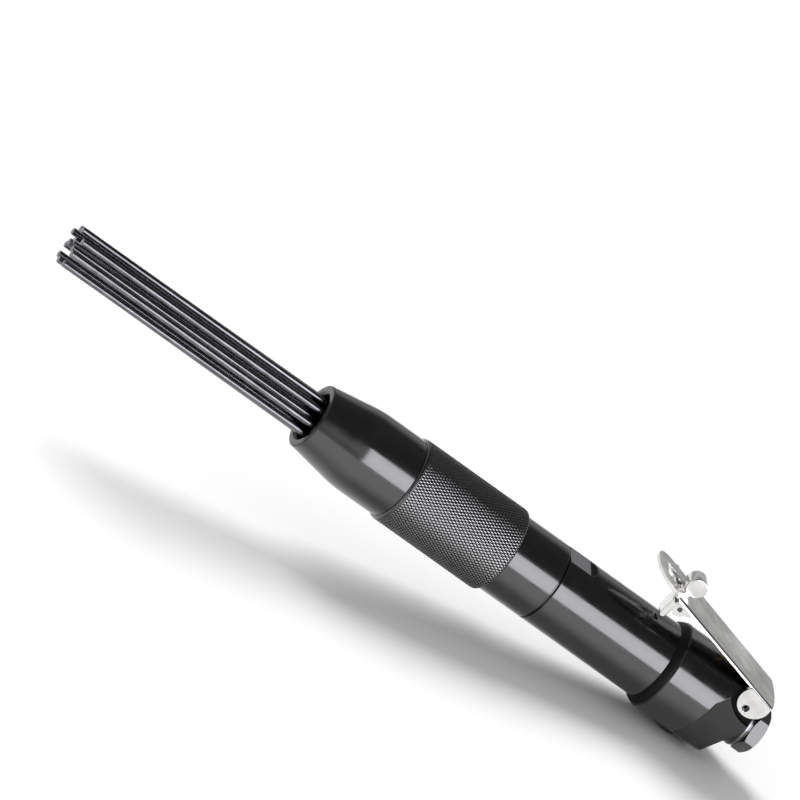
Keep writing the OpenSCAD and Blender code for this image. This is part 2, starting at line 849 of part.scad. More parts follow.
// Pressed throttle lever: a channel with ears, lugs, a slot for the catch and a round tongue
module throttle_lever() {
    depth = lever_w;
    color(bright_steel) on_lever() difference() {
        union() {
            intersection() {
                union() {
                    intersection() {
                        translate([-lever_tail - over, 0, 0]) rotate([90, 0, 90])
                            linear_extrude(height = lever_tail + over + lever_plate_end) difference() {
                                channel_outline(lever_w, lever_top, lever_bend_r);
                                channel_outline(lever_inner_w, lever_under, lever_bend_r - lever_t);
                            }
                        rotate([90, 0, 0]) linear_extrude(height = lever_w + over, center = true)
                            lever_side();
                    }
                    rotate([90, 0, 0]) linear_extrude(height = lever_w, center = true) tongue_side();
                }
                translate([0, 0, -depth]) linear_extrude(height = 2 * depth) lever_plan();
            }
            for (side = [-1, 1])
                translate([0, side > 0 ? lever_inner_w / 2 + ear_t : -lever_inner_w / 2, 0])
                    rotate([90, 0, 0]) linear_extrude(height = ear_t) ear_side();
        }
        translate([catch_reach - slot_back, -catch_w / 2 - slot_gap, lever_under - over])
            cube([slot_back + slot_front, catch_w + 2 * slot_gap, lever_t + 2 * over + curl_from]);
        cross_bar(lever_pin_d / 2 + run_gap, lever_w + 2 * ear_t, 0, 0);
        cross_bar(catch_pin_d / 2, lever_w + over, catch_reach, catch_w0);
    }
}

// Rolled spring pin of the lever
module lever_pin() {
    pin_wall = lever_pin_d / 4;
    color(plain_steel) difference() {
        cross_bar(lever_pin_d / 2, lever_inner_w + ear_t, -st_pin, pin_z);
        cross_bar(lever_pin_d / 2 - pin_wall, lever_w + 2 * ear_t, -st_pin, pin_z);
    }
}

// Side view of the catch about its pin: leg, eye, neck and thumb pad with a flat base; x runs to the rear
module catch_side() {
    rotate(catch_lead) {
        translate([-catch_t / 2, catch_t / 2 - catch_leg]) square([catch_t, catch_leg - catch_t / 2]);
        translate([0, catch_t / 2 - catch_leg]) circle(r = catch_t / 2);
    }
    circle(r = catch_eye_r);
    rotate(-pad_lean) translate([-catch_t / 2, 0]) square([catch_t, pad_up]);
    difference() {
        rotate(-pad_lean) translate([0, pad_up]) circle(r = pad_r);
        rotate(-lever_slope) translate([-pad_up, pad_lift - pad_up]) square([2 * pad_up, pad_up]);
    }
}

// Front view of the catch about its pin: a bar with rounded corners at its foot
module catch_front() {
    r = foot_round;
    round_z = r * foot_round_share - catch_leg;
    translate([-catch_w / 2, round_z]) square([catch_w, 2 * catch_leg]);
    translate([r - catch_w / 2, -catch_leg - over]) square([catch_w - 2 * r, catch_leg]);
    for (side = [-1, 1]) translate([side * (catch_w / 2 - r), round_z]) circle(r = r);
}

// Lock-off catch: its foot stands over the barrel until the thumb pad is pushed forward
module lock_catch() {
    color(bright_steel) translate([catch_pin_x, 0, catch_pin_z]) difference() {
        intersection() {
            rotate([90, 0, 0]) linear_extrude(height = catch_w + over, center = true) catch_side();
            rotate([90, 0, 90]) linear_extrude(height = 2 * catch_leg, center = true) catch_front();
        }
        cross_bar(catch_pin_d / 2 + run_gap, catch_w + over, 0, 0);
    }
}

// Pin of the catch, riveted in the lugs of the lever
module catch_pin() {
    color(plain_steel) on_lever() cross_bar(catch_pin_d / 2, lever_w - lever_t / 2, catch_reach, catch_w0);
}

// Torsion spring on the catch pin, beside the catch
module catch_spring() {
    room = lever_inner_w / 2 - catch_w / 2 - 2 * slot_gap;
    color(plain_steel) translate([catch_pin_x, -catch_w / 2 - slot_gap, catch_pin_z]) rotate([90, 0, 0])
        coil(room, catch_coil_r, catch_wire_d, catch_turns);
}

// Hexagonal inlet bushing with the threaded air inlet
module inlet_bushing() {
    corner_r = hex_af / sqrt(3);
    color(black_steel) difference() {
        union() {
            intersection() {
                rotate([-hex_turn, 0, 0]) translate([-hex_l, 0, 0]) rotate([0, 90, 0])
                    cylinder(r = corner_r, h = hex_l, $fn = 6);
                turned([
                    [0, 0],
                    [corner_r - 2 * hex_chamfer, 0],
                    [corner_r, hex_chamfer],
                    [corner_r, hex_l - hex_collar - hex_chamfer],
                    [corner_r - 2 * hex_chamfer, hex_l - hex_collar],
                    [corner_r - 2 * hex_chamfer, hex_l],
                    [0, hex_l]
                ]);
            }
            bar(bushing_spigot_r, hex_l - hex_chamfer, st_bushing);
        }
        bar(inlet_d / 2, -over, inlet_l);
        bar(bushing_throat_r, inlet_l - over, st_bushing + over);
    }
}

// Seal washer between the hexagon and the boss of the rear head
module inlet_seal() {
    color(bright_steel) ring(bushing_spigot_r, seal_r, hex_l, st_boss);
}

// Drilled air screen held behind the inlet bushing
module inlet_screen() {
    color(bright_steel) difference() {
        bar(bushing_spigot_r, st_bushing, st_screen);
        for (row = [-screen_rows : screen_rows], col = [-screen_rows : screen_rows])
            let (z = (col + row / 2) * screen_pitch, y = row * screen_pitch * sqrt(3) / 2)
            if (norm([y, z]) < air_r - screen_hole_r)
                bar(screen_hole_r, st_bushing - over, st_screen + over, z, y);
    }
}

nose_sleeve();
front_barrel();
main_barrel();
rear_head();
exhaust_ring();
barrel_o_ring();
needle_holder();
needle_spring();
spring_washer();
for (i = [0 : needle_total - 1]) needle(i);
anvil();
anvil_bush();
anvil_buffer();
hammer();
valve_seat();
valve_disc();
valve_cap();
valve_pins();
throttle_stem();
throttle_bush();
stem_o_ring();
throttle_spring();
throttle_plug();
plug_o_ring();
throttle_lever();
lever_pin();
lock_catch();
catch_pin();
catch_spring();
inlet_bushing();
inlet_seal();
inlet_screen();
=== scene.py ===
"""Looks of a straight pneumatic needle scaler: black oxide barrel, knurled grip, plated lever, steel needles.

The tool lies along X with its air inlet at X = 0 and its needles pointing to -X. Sizes are in millimetres until a
mesh is made, and a station is a distance forward of the inlet face, so that station s lies at X = -s.
"""

import math

import bpy
import numpy as np
from mathutils import Matrix, Vector
from mathutils.geometry import tessellate_polygon


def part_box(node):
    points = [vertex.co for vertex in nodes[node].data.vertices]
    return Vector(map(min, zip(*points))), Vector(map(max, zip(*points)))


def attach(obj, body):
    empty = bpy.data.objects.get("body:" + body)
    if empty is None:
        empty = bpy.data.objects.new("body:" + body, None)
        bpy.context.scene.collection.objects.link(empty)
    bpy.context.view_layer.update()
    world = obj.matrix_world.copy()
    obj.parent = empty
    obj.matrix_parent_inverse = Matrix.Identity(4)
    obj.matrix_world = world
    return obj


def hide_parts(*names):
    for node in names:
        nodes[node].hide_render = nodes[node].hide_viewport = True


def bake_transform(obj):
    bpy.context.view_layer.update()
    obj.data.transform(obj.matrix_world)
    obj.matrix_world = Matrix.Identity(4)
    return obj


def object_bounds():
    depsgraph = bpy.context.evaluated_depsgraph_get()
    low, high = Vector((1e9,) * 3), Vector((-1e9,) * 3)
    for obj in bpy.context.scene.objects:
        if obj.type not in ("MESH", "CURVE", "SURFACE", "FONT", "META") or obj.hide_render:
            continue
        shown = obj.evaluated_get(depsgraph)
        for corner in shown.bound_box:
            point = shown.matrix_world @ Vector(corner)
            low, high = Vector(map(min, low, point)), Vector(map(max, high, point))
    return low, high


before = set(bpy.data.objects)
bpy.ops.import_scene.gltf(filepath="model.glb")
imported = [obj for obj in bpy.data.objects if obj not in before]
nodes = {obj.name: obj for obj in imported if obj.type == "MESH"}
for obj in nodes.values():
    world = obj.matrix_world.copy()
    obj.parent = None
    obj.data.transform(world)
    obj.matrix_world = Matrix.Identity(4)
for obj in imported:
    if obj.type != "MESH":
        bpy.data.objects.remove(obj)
cad_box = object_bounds()
scene = bpy.context.scene
scene.view_settings.view_transform = "Standard"

MM = 0.001
TURN = 2 * math.pi

# Lengths of the grip and of the straight part of the nose in front of it
GRIP_LONG = 53.5
NOSE_STRAIGHT = 21.7

# Stations of the outside
ST_HEX = -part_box("inlet_seal")[1].x / MM
ST_BUSHING = -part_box("inlet_bushing")[0].x / MM
ST_HEAD, ST_EXHAUST = (-corner.x / MM for corner in reversed(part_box("exhaust_ring")))
ST_JOINT, ST_GRIP = (-corner.x / MM for corner in reversed(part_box("front_barrel")))
ST_GRIP_REAR = ST_GRIP - GRIP_LONG
ST_SHOULDER = ST_GRIP + NOSE_STRAIGHT
ST_HOLDER = -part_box("needle_holder")[0].x / MM
ST_MOUTH = -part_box("nose_sleeve")[0].x / MM

# Radii of the round pieces
NOSE_BORE_R = 13.3
SPIGOT_R = 15.5
GRIP_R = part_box("front_barrel")[1].z / MM
BARREL_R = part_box("main_barrel")[1].y / MM
RING_SEAT_DEEP = 1.1
RING_SEAT_R = BARREL_R - RING_SEAT_DEEP

# Fineness of the meshes
ROUND_COLS = 256          # points round a plain turned piece
FINE_COLS = 240           # points round a piece with flats
ARC_STEPS = 5             # sides of a fillet
RIM_POINTS = 5            # across a plate's rounded rim
LONGEST_SIDE = 6.0        # along a plain turned piece
MERGE_DIGITS = 4          # decimals of a millimetre that tell two points of a solid apart

# Edges that turn by less than this many degrees are shaded smooth
EDGE_ANGLE = 30.0
COPY_ANGLE = 32.0         # on copies of solids
SOFT_ANGLE = 60.0         # on the knurl and the coils

# Camera of the photograph: direction from the tool, roll, scale and aim, fitted to its outlines
VIEW_TURN = math.radians(19.35)
VIEW_RISE = math.radians(23.91)
VIEW_ROLL = math.radians(35.47)
PIXELS_PER_MM = 2.4897
IMAGE_SIDE = 800
VIEW_DISTANCE = 12000.0
VIEW_AIM = (-211.06, 0.0, 28.1)
SENSOR = 36.0


# Meshes

def grid_faces(rows, cols, rows_wrap=True):
    """Triangles of a grid that closes round its columns, and round its rows if asked.

    Each cell is cut along one diagonal, and the diagonals alternate like the squares of a chess board.
    """
    i = np.arange(rows if rows_wrap else rows - 1)[:, None]
    j = np.arange(cols)[None, :]
    up, along = (i + 1) % rows, (j + 1) % cols
    a, b, c, d = (r * cols + s for r, s in ((i, j), (i, along), (up, along), (up, j)))
    even = ((i + j) % 2 == 0)[..., None, None]
    first = np.stack([np.stack([a, b, c], -1), np.stack([a, c, d], -1)], -2)
    second = np.stack([np.stack([a, b, d], -1), np.stack([b, c, d], -1)], -2)
    return np.where(even, first, second).reshape(-1, 3)


def circle(angle):
    """Points of the unit circle at the given angles, one in each row."""
    return np.stack([np.cos(angle), np.sin(angle)], -1)


def add_piece(name, points, faces, material, body, replaces=(), sharp=EDGE_ANGLE):
    """Puts points in millimetres and their faces into a mesh, smooth up to the given edge angle in degrees.

    It rides on the named body; with none, the caller says what it follows.
    """
    mesh = bpy.data.meshes.new(name)
    mesh.from_pydata((np.asarray(points) * MM).tolist(), [], np.asarray(faces).tolist())
    mesh.shade_smooth()
    mesh.set_sharp_from_angle(angle=math.radians(sharp))
    mesh.materials.append(material)
    piece = bpy.data.objects.new(name, mesh)
    scene.collection.objects.link(piece)
    if body:
        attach(piece, body)
    if replaces:
        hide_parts(*replaces)
    return piece


def add_grid(name, grid, material, replaces, sharp=EDGE_ANGLE):
    """A piece of the tool body from a grid of points that closes both ways, in place of the named solid."""
    faces = grid_faces(*grid.shape[:2])
    return add_piece(name, grid.reshape(-1, 3), faces, material, "tool_body", (replaces,), sharp)


def rounded(outline):
    """A closed outline of (station, radius, fillet) corners, with each corner replaced by an arc of its fillet.

    The arc starts and ends at fillet * tan(half the turning angle) from the corner, along its two sides.
    """
    corners = np.array([corner[:2] for corner in outline], float)
    made = []
    neighbours = np.roll(corners, 1, 0), np.roll(corners, -1, 0)
    for corner, before, after, (_, _, fillet) in zip(corners, *neighbours, outline):
        if fillet == 0:
            made.append(corner[None])
            continue
        back = (before - corner) / np.linalg.norm(before - corner)
        ahead = (after - corner) / np.linalg.norm(after - corner)
        half = math.acos(np.clip(back @ ahead, -1, 1)) / 2
        middle = (back + ahead) / np.linalg.norm(back + ahead)
        centre = corner + middle * (fillet / math.sin(half))
        start, end = (corner + side * (fillet / math.tan(half)) for side in (back, ahead))
        share = np.linspace(0, 1, ARC_STEPS + 1)[:, None]
        chord = start * (1 - share) + end * share - centre
        made.append(centre + chord * fillet / np.linalg.norm(chord, axis=1)[:, None])
    return np.concatenate(made)


def split_long(outline, longest):
    """Adds points to the straight sides of a closed outline, so that no side is longer than the given length."""
    made = []
    for a, b in zip(outline, np.roll(outline, -1, 0)):
        count = max(1, math.ceil(np.linalg.norm(b - a) / longest))
        made.append(a + (b - a) * np.arange(count)[:, None] / count)
    return np.concatenate(made)


def turned(outline, angle):
    """A closed outline of (station, radius) carried round the tool axis: a row for each point, a column for an angle.

    Station s and radius r at angle a lie at (-s, r sin a, r cos a).
    """
    x = np.repeat(-outline[:, :1], len(angle), 1)
    y, z = outline[:, 1:] * np.sin(angle), outline[:, 1:] * np.cos(angle)
    return np.stack([x, y, z], -1)


def add_turned(name, outline, material):
    """A turned piece of the tool body that stands for the solid of the same name."""
    grid = turned(split_long(rounded(outline), LONGEST_SIDE), TURN * np.arange(ROUND_COLS) / ROUND_COLS)
    return add_grid(name + "_turned", grid, material, name)


def add_plate(name, outline, hole, width, rim, material, body, replaces):
    """A plate drawn out along Y from an outline and a hole, both counter-clockwise points (x, z) in millimetres.

    The outline moves in along its normal by rim * (1 - sin t) while y falls by rim * (1 - cos t), which rounds both
    rims to a quarter circle; the hole goes straight through.
    """
    ahead = np.roll(outline, -1, 0) - np.roll(outline, 1, 0)
    inward = np.stack([-ahead[:, 1], ahead[:, 0]], 1) / np.linalg.norm(ahead, axis=1)[:, None]
    t = np.linspace(0, math.pi / 2, RIM_POINTS)
    inset = rim * (1 - np.sin(t))
    level = width / 2 - rim * (1 - np.cos(t))
    rings = [np.insert(outline + inward * d, 1, y, 1)
             for d, y in zip(np.r_[inset, inset[::-1]], np.r_[level, -level[::-1]])]
    rings += [np.insert(hole, 1, y, 1) for y in (-width / 2, width / 2)]
    n, m, sides = len(outline), len(hole), 2 * len(t)
    first_hole = n * sides
    faces = [grid_faces(sides, n, rows_wrap=False), first_hole + grid_faces(2, m, rows_wrap=False)]
    level_rings = [np.insert(ring, 2, 0, 1).tolist() for ring in (outline + inward * rim, hole)]
    cap = np.array(tessellate_polygon(level_rings))
    faces.append(np.where(cap < n, cap, cap - n + first_hole + m))
    faces.append(np.where(cap < n, cap + n * (sides - 1), cap - n + first_hole)[:, ::-1])
    add_piece(name, np.concatenate(rings), np.concatenate(faces), material, body, replaces)


def corner_points(piece):
    """Points of a piece's mesh in millimetres, one in each row."""
    points = np.empty((len(piece.data.vertices), 3), np.float32)
    piece.data.vertices.foreach_get("co", points.ravel())
    return points.astype(float) / MM


def add_smooth(name, material, body, sharp=COPY_ANGLE):
    """A copy of a solid's mesh with its doubled points merged, smooth up to the given edge angle in degrees."""
    kept, index = np.unique(np.round(corner_points(nodes[name]), MERGE_DIGITS), axis=0, return_inverse=True)
    mesh = nodes[name].data
    mesh.calc_loop_triangles()
    corners = np.empty((len(mesh.loop_triangles), 3), np.int32)
    mesh.loop_triangles.foreach_get("vertices", corners.ravel())
    faces = index.reshape(-1)[corners]
    whole = (faces[:, 0] != faces[:, 1]) & (faces[:, 1] != faces[:, 2]) & (faces[:, 2] != faces[:, 0])
    return add_piece(name + "_smooth", kept, faces[whole], material, body, (name,), sharp)


def refinish(piece, material, chosen):
    """Gives a material to the triangles of a piece whose three corners are all chosen, by a true or false for each."""
    mesh = piece.data
    mesh.materials.append(material)
    corners = np.empty(len(mesh.loops), np.int32)
    mesh.loops.foreach_get("vertex_index", corners)
    index = np.empty(len(mesh.polygons), np.int32)
    mesh.polygons.foreach_get("material_index", index)
    index[np.ravel(chosen)[corners.reshape(-1, 3)].all(1)] = len(mesh.materials) - 1
    mesh.polygons.foreach_set("material_index", index)


# Materials

BLOTCH_MM = 6.0           # spacing of the soft blotches in a finish
SWELL_MM = 26.0           # spacing of the swells in a pressed sheet
TONE_RANGE = 0.12, 0.42   # product of the two noises that goes from dark to light
GLOSS_RANGE = 0.3, 0.7    # blotch noise that goes from the least to the greatest roughness
MARK_STRENGTH = 0.6
MARK_OCTAVES, BLOTCH_OCTAVES, SWELL_OCTAVES = 4.0, 5.0, 0.0
BEVEL_SAMPLES = 6


def linear(hex_colour):
    """Linear RGBA of an sRGB hex colour."""
    parts = np.array([int(hex_colour[k:k + 2], 16) for k in (1, 3, 5)]) / 255
    low, high = parts / 12.92, ((parts + 0.055) / 1.055) ** 2.4
    return (*np.where(parts <= 0.04045, low, high).tolist(), 1.0)


def add(tree, kind, inputs=None, **settings):
    """Adds a shader node with its settings; an input is a value, or the output socket that feeds it."""
    made = tree.nodes.new(kind)
    for key, value in settings.items():
        setattr(made, key, value)
    for key, value in (inputs or {}).items():
        if isinstance(value, bpy.types.NodeSocket):
            tree.links.new(value, made.inputs[key])
        else:
            made.inputs[key].default_value = value
    return made


def new_material(name):
    """An empty node material with its tree and its Principled shader."""
    material = bpy.data.materials.new(name)
    material.use_nodes = True
    tree = material.node_tree
    return material, tree, tree.nodes["Principled BSDF"]


def per_mm(spacing):
    """Scale, in metres, of a pattern whose features are the given number of millimetres apart."""
    return 1 / (spacing * MM)


def grain_finish(name, dark, light, rough, stretch, grain_mm, bump_mm, metallic=1.0, ior=None, edge_mm=0.0,
                 wave_mm=0.0):
    """A surface whose colour drifts between dark and light in soft blotches, under fine marks.

    rough is the least and the greatest roughness, stretch the scale of the marks along X, Y and Z, grain_mm their
    spacing and bump_mm their depth; they run long where the stretch is small. An edge_mm above zero breaks sharp edges
    with that radius in the shading, and a wave_mm above zero lets the sheet rise and fall by about that much.
    """
    material, tree, shader = new_material(name)
    place = add(tree, "ShaderNodeTexCoord").outputs["Object"]
    stretched = add(tree, "ShaderNodeMapping", {"Vector": place, "Scale": stretch}).outputs["Vector"]
    marks = add(tree, "ShaderNodeTexNoise",
                {"Vector": stretched, "Scale": per_mm(grain_mm), "Detail": MARK_OCTAVES}).outputs["Fac"]
    blotch = add(tree, "ShaderNodeTexNoise",
                 {"Vector": place, "Scale": per_mm(BLOTCH_MM), "Detail": BLOTCH_OCTAVES}).outputs["Fac"]
    mixed = add(tree, "ShaderNodeMath", {0: marks, 1: blotch}, operation="MULTIPLY").outputs[0]
    tone = add(tree, "ShaderNodeMapRange", {"Value": mixed, "From Min": TONE_RANGE[0], "From Max": TONE_RANGE[1]})
    colour = add(tree, "ShaderNodeMix", {0: tone.outputs[0], 6: linear(dark), 7: linear(light)}, data_type="RGBA")
    tree.links.new(colour.outputs[2], shader.inputs["Base Color"])
    gloss = add(tree, "ShaderNodeMapRange", {"Value": blotch, "From Min": GLOSS_RANGE[0], "From Max": GLOSS_RANGE[1],
                                             "To Min": rough[0], "To Max": rough[1]})
    tree.links.new(gloss.outputs[0], shader.inputs["Roughness"])
    bump = add(tree, "ShaderNodeBump", {"Height": marks, "Distance": bump_mm * MM, "Strength": MARK_STRENGTH})
    if edge_mm:
        edge = add(tree, "ShaderNodeBevel", {"Radius": edge_mm * MM}, samples=BEVEL_SAMPLES)
        tree.links.new(edge.outputs["Normal"], bump.inputs["Normal"])
    if wave_mm:
        swell = add(tree, "ShaderNodeTexNoise",
                    {"Vector": place, "Scale": per_mm(SWELL_MM), "Detail": SWELL_OCTAVES}).outputs["Fac"]
        bump = add(tree, "ShaderNodeBump", {"Height": swell, "Distance": wave_mm * MM, "Strength": 1.0,
                                            "Normal": bump.outputs["Normal"]})
    tree.links.new(bump.outputs["Normal"], shader.inputs["Normal"])
    shader.inputs["Metallic"].default_value = metallic
    if ior:
        shader.inputs["IOR"].default_value = ior
    return material


# Real lathe rings, cutter marks, brush lines and die lines lie about 0.1 mm apart. That is too fine to show, so they
# are drawn 0.23 to 0.33 mm apart, the grain over its largest stretch, and marks with no direction 0.6 to 0.8 mm apart.

# Black oxide on turned steel: magnetite film under oil, near black with a hard gloss and faint rings from the lathe
black_oxide = grain_finish("black_oxide_steel", "#0a0a0b", "#151517", (0.11, 0.18), (6.0, 0.25, 0.25), 1.6, 0.003,
                           metallic=0.0, ior=1.95, edge_mm=0.2)
# Black oxide on milled faces: the same film over cutter marks, so it is duller than the turned barrel
milled_oxide = grain_finish("black_oxide_milled", "#0b0b0c", "#18181a", (0.24, 0.36), (1.0, 1.0, 4.0), 1.2, 0.006,
                            metallic=0.0, ior=1.62, edge_mm=0.35)
# Black oxide on the crests of a rolled knurl: polished by the roll, so each diamond glints
knurl_oxide = grain_finish("black_oxide_knurl", "#0b0b0c", "#19191b", (0.12, 0.2), (1.0, 1.0, 1.0), 0.8, 0.003,
                           metallic=0.0, ior=3.2)
# Black oxide rubbed by the wrench: steel shows through on the flats of the barrel
rubbed_oxide = grain_finish("black_oxide_rubbed", "#8a8a8e", "#a6a6aa", (0.26, 0.36), (4.0, 1.0, 1.0), 1.2, 0.005)
# Painted shade: black oxide made near black and dull, put in grooves, recesses and the run-out of the wrench cut to
# stand for the shade that falls there, so they stay black
painted_shade_oxide = grain_finish("black_oxide_painted_shade", "#020202", "#070708", (0.5, 0.65), (1.0, 1.0, 1.0), 0.8, 0.004,
                          metallic=0.0, ior=1.25)
# Nickel plate over brushed pressed steel: bright, with fine lines along the sheet and edges broken by tumbling
nickel_plate = grain_finish("nickel_plated_steel", "#d2d1cf", "#f2f1ef", (0.1, 0.2), (0.12, 3.0, 3.0), 0.7, 0.003,
                            edge_mm=0.25, wave_mm=2.5)
# Drawn spring steel wire: dark, with die lines along the needle
needle_wire = grain_finish("drawn_spring_steel", "#5c5c5f", "#86868a", (0.16, 0.26), (0.06, 3.0, 3.0), 0.9, 0.005)
# Ground and hardened steel of the inner pieces: mid grey with fine rings
ground_steel = grain_finish("ground_steel", "#77787b", "#94959a", (0.22, 0.34), (3.0, 0.4, 0.4), 0.8, 0.003)
# Cast tin bronze of the bushes: brown gold with turning marks
bronze = grain_finish("tin_bronze", "#8a6a38", "#b08a4e", (0.28, 0.42), (3.0, 0.5, 0.5), 1.0, 0.004)
# Nitrile rubber: moulded, dull and almost black, with a fine bloom
nitrile = grain_finish("nitrile_rubber", "#030304", "#09090a", (0.5, 0.65), (1.0, 1.0, 1.0), 0.6, 0.01,
                       metallic=0.0, ior=1.3)


# Pieces

MOUTH_R = 14.5
MOUTH_BORE_R = 10.75
MOUTH_BORE_LONG = 8.0
MOUTH_FLARE_LONG = 1.2    # chamfer from the bore to the mouth's face
MOUTH_FLARE_WIDE = 1.0
SHOULDER_ROUND = 50.0     # radius of the bend from the cone to the straight part
NOSE_SPIGOT_LONG = 16.3   # screwed end inside the grip


def nose_sleeve():
    """Tapered nose: a straight tube, a soft shoulder and a cone to the rounded mouth, with a stepped bore."""
    nose_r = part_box("nose_sleeve")[1].z / MM
    inner_lip, outer_lip, throat, seam = 0.4, 0.9, 0.6, 0.2
    spigot, seat, flare = ST_GRIP - NOSE_SPIGOT_LONG, ST_MOUTH - MOUTH_BORE_LONG, ST_MOUTH - MOUTH_FLARE_LONG
    piece = add_turned("nose_sleeve", [
        (ST_MOUTH, MOUTH_BORE_R + MOUTH_FLARE_WIDE, inner_lip), (ST_MOUTH, MOUTH_R, outer_lip),
        (ST_SHOULDER, nose_r, SHOULDER_ROUND), (ST_GRIP, nose_r, seam), (ST_GRIP, SPIGOT_R, 0), (spigot, SPIGOT_R, 0),
        (spigot, NOSE_BORE_R, 0), (seat, NOSE_BORE_R, 0), (seat, MOUTH_BORE_R, 0), (flare, MOUTH_BORE_R, throat),
    ], black_oxide)
    face_depth = 1.3
    refinish(piece, milled_oxide, -corner_points(piece)[:, 0] > ST_MOUTH - face_depth)


KNURL_COUNT = 86          # diamonds round the grip
KNURL_LONG = 2.65         # length of a diamond along the tool
KNURL_CELLS = 6           # mesh cells across a diamond, each way
KNURL_DEPTH = 0.3
KNURL_SUNK = 0.8          # share of the depth that lies below the grip's radius
KNURL_REACH = 0.8         # share of the grip's rounded rear edge that the grooves cut
KNURL_FADE = 0.5          # length over which the grooves run out at each end
KNURL_POWER = 5           # flatness of the diamonds' tops
GRIP_LIP = 0.9            # rounded front edge of the grip
GRIP_ROUND = 1.7          # rounded rear edge of the grip
GRIP_ROUND_STEPS = 6
GRIP_THREAD_R = 14.5      # rear bore that takes the main barrel
SCREW_GAP = 0.1
WEB_BORE_R = 9.0          # bore of the web between the two screwed ends
NOSE_SEAT, WEB_FRONT, WEB_REAR = 17.0, 26.9, 30.0   # depths behind the grip's front face
GROOVE_LONG = 0.9         # dark groove at the screwed joint
GROOVE_DEEP = 1.1
GROOVE_EDGE = 0.3


def front_barrel():
    """Grip tube: its band is lowered along two crossing sets of helical grooves, with a rounded diamond between.

    With a and b the turns of the two helices, and p and q how far each is from a whole number, the height is the
    product of 1 - (1 - 2p)^5 and 1 - (1 - 2q)^5: nothing in a groove and one on top of a diamond.
    """
    band_rear, band_front = ST_GRIP_REAR + GRIP_ROUND, ST_GRIP - GRIP_LIP
    step = KNURL_LONG / KNURL_CELLS
    rows = round((band_front - band_rear) / step)
    band = np.stack([band_front - step * np.arange(rows + 1), np.full(rows + 1, GRIP_R)], 1)
    edge = np.linspace(0, math.pi / 2, GRIP_ROUND_STEPS + 1)[1:]
    rear = band[-1] - GRIP_ROUND * np.stack([np.sin(edge), 1 - np.cos(edge)], 1)
    front = [(ST_GRIP, SPIGOT_R + SCREW_GAP), (ST_GRIP, GRIP_R - GRIP_LIP),
             (ST_GRIP - GRIP_LIP / 3, GRIP_R - GRIP_LIP / 4)]
    groove, groove_r = ST_JOINT + GROOVE_LONG, BARREL_R - GROOVE_DEEP
    hold = 0.1            # a close pair of rings, which keeps the shading of the plain section off the groove's edge
    seat, web_front, web_rear = ST_GRIP - NOSE_SEAT, ST_GRIP - WEB_FRONT, ST_GRIP - WEB_REAR
    tail = [(groove + GROOVE_EDGE + hold, BARREL_R), (groove + GROOVE_EDGE, BARREL_R),
            (groove, BARREL_R - GROOVE_EDGE), (groove, groove_r), (ST_JOINT, groove_r), (ST_JOINT, GRIP_THREAD_R),
            (web_rear, GRIP_THREAD_R), (web_rear, WEB_BORE_R), (web_front, WEB_BORE_R), (web_front, NOSE_BORE_R),
            (seat, NOSE_BORE_R), (seat, SPIGOT_R + SCREW_GAP)]
    outline = np.concatenate([front, band, rear, tail])
    cols = KNURL_CELLS * KNURL_COUNT
    grid = turned(outline, TURN * np.arange(cols) / cols)
    i = np.arange(len(outline))[:, None] - len(front)
    j = np.arange(cols)[None, :]
    a, b = (i + j) / KNURL_CELLS, (i - j) / KNURL_CELLS
    p, q = np.abs(a - np.round(a)), np.abs(b - np.round(b))
    height = (1 - (1 - 2 * p) ** KNURL_POWER) * (1 - (1 - 2 * q) ** KNURL_POWER)
    station = outline[:, :1]
    fade = np.clip(np.minimum(band_front - station, station - ST_GRIP_REAR) / KNURL_FADE, 0, 1)
    fade = fade * (station >= band_rear - KNURL_REACH * GRIP_ROUND)
    grid[..., 1:] *= (1 + fade * KNURL_DEPTH * (height - KNURL_SUNK) / GRIP_R)[..., None]
    piece = add_grid("front_barrel_knurled", grid, black_oxide, "front_barrel", SOFT_ANGLE)
    banded = (fade > 0).repeat(cols, 1)
    # Painted shade: the grooves of the knurl take the near-black shade material, so they read as dark pits between the
    # crests
    refinish(piece, painted_shade_oxide, banded)
    refinish(piece, knurl_oxide, banded & (height > 0))


WRENCH_HALF = 16.5        # height of the wrench flats over the axis
WRENCH_LONG = 10.4
RUNOUT_LONG = 3.5         # length of the round end of the cut
SCREW_LONG = 19.0         # front end that screws into the grip
SCREW_R = 14.4
BUSH_R = 11.4             # bore for the anvil's bush
BUSH_DEEP = 5.3           # its rear end in front of the joint
CYLINDER_R = 10.5
VALVE_R = 13.5            # bore for the valve's stack
VALVE_LONG = 22.9
BARREL_STEP = 0.5         # mesh rows along the barrel
NEAR = 1e-6


